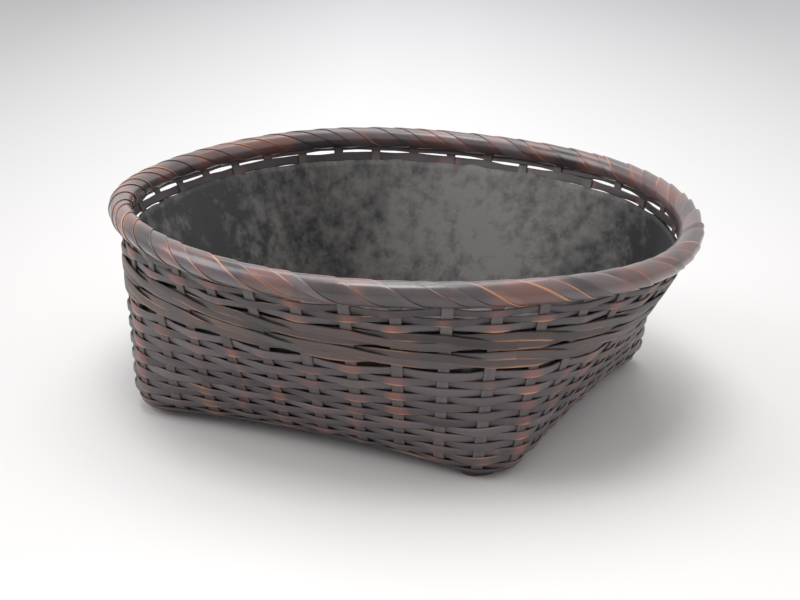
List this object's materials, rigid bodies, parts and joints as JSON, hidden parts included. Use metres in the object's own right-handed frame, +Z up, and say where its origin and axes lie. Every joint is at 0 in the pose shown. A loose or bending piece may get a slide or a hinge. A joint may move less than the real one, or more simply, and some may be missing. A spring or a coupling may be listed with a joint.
{
  "type": "charcoal basket",
  "caption": "Woven bamboo charcoal basket with a square base, a round wrapped rim and a black lacquered paper lining.",
  "frame": {"origin": "on the table, under the middle of the round rim", "axes": "+Z up out of the basket's mouth; the base's sides face +X, +Y, -X and -Y, and its corners lie between them"},
  "size_m": [0.28, 0.28, 0.097],
  "materials": {
    "stakes": "smoked bamboo, dark grey-brown, dusty satin",
    "weavers": "smoked bamboo, dark brown with worn red-brown crests",
    "waling": "smoked bamboo, dark brown with worn tan edges",
    "feet": "smooth dark red-brown bamboo, polished by use",
    "hoops": "plain dark bamboo, mostly hidden",
    "rim_wrap": "polished dark red-brown bamboo skin",
    "lining": "black lacquered paper, dull and dusty"
  },
  "bodies": {
    "root": {"floor_strip_x1": "stakes", "floor_strip_x2": "stakes", "floor_strip_x3": "stakes", "floor_strip_x4": "stakes", "floor_strip_x5": "stakes", "floor_strip_x6": "stakes", "floor_strip_x7": "stakes", "floor_strip_x8": "stakes", "floor_strip_x9": "stakes", "floor_strip_x10": "stakes", "floor_strip_y1": "stakes", "floor_strip_y2": "stakes", "floor_strip_y3": "stakes", "floor_strip_y4": "stakes", "floor_strip_y5": "stakes", "floor_strip_y6": "stakes", "floor_strip_y7": "stakes", "floor_strip_y8": "stakes", "floor_strip_y9": "stakes", "floor_strip_y10": "stakes", "corner_foot_1": "feet", "corner_foot_2": "feet", "corner_foot_3": "feet", "corner_foot_4": "feet", "plain_row_1": "weavers", "plain_row_2": "weavers", "plain_row_3": "weavers", "plain_row_4": "weavers", "plain_row_5": "weavers", "plain_row_6": "weavers", "plain_row_7": "weavers", "plain_row_8": "weavers", "plain_row_9": "weavers", "plain_row_10": "weavers", "plain_row_11": "weavers", "plain_row_12": "weavers", "plain_row_13": "weavers", "thin_row_1": "weavers", "thin_row_2": "weavers", "thin_row_3": "weavers", "waling_1_strand_1": "waling", "waling_1_strand_2": "waling", "waling_1_strand_3": "waling", "waling_2_strand_1": "waling", "waling_2_strand_2": "waling", "waling_2_strand_3": "waling", "paper_lining": "lining", "inner_hoop": "hoops", "outer_hoop": "hoops", "rim_filler": "hoops", "rim_wrap": "rim_wrap"}
  },
  "joints": []
}
